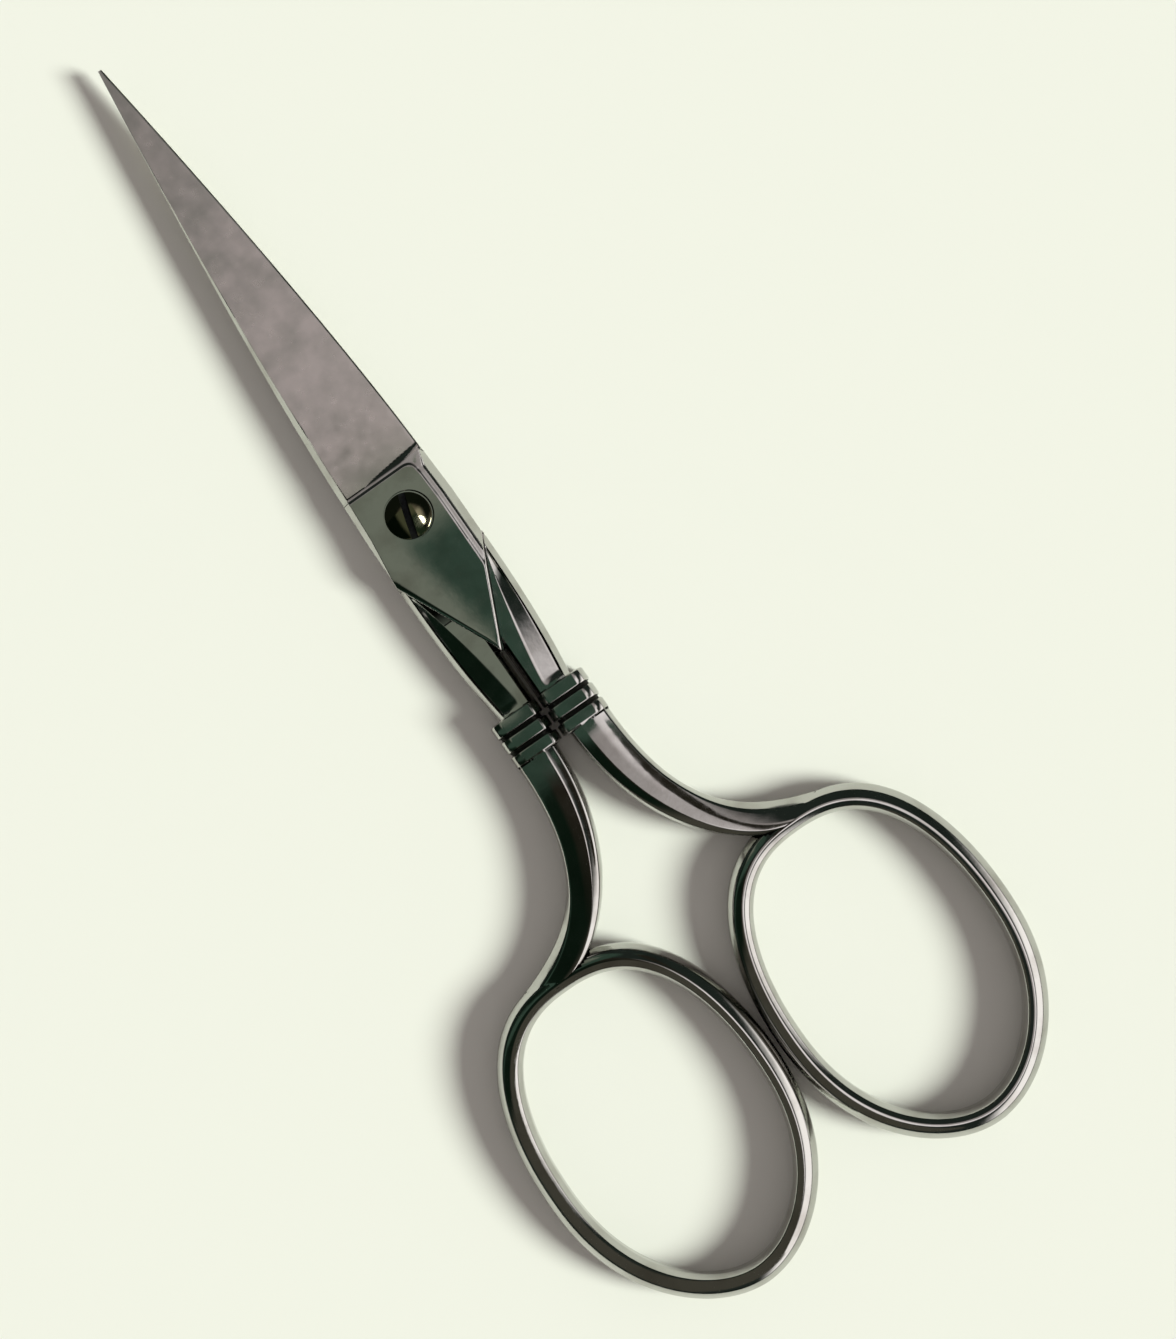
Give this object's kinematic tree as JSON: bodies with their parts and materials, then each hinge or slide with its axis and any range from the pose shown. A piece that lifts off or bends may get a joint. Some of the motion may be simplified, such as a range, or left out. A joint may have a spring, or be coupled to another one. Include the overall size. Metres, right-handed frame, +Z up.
{
  "type": "sewing scissors",
  "caption": "Slim right-handed sewing scissors: crossed pointed blades on a slotted pivot screw, fluted shanks, banded collars and oval finger rings.",
  "frame": {"origin": "pivot axis, on the plane that the closed scissors rest on", "axes": "+Y to the tips, +X to the right with the screw head up, +Z up out of the screw head"},
  "size_m": [0.0528, 0.1305, 0.0042],
  "materials": {
    "upper_steel": "polished nickel plate, satin-ground blade",
    "lower_steel": "polished nickel plate, satin-ground blade",
    "screw_metal": "polished and darkened with age"
  },
  "bodies": {
    "lower_half": {"lower_half": "lower_steel", "pivot_screw": "screw_metal"},
    "upper_half": {"upper_half": "upper_steel"}
  },
  "joints": [
    {"name": "blade_pivot", "type": "hinge", "parent": "lower_half", "child": "upper_half", "pos_m": [0, 0, 0.0021], "axis": [0, 0, -1], "range_deg": [0, 80]}
  ]
}
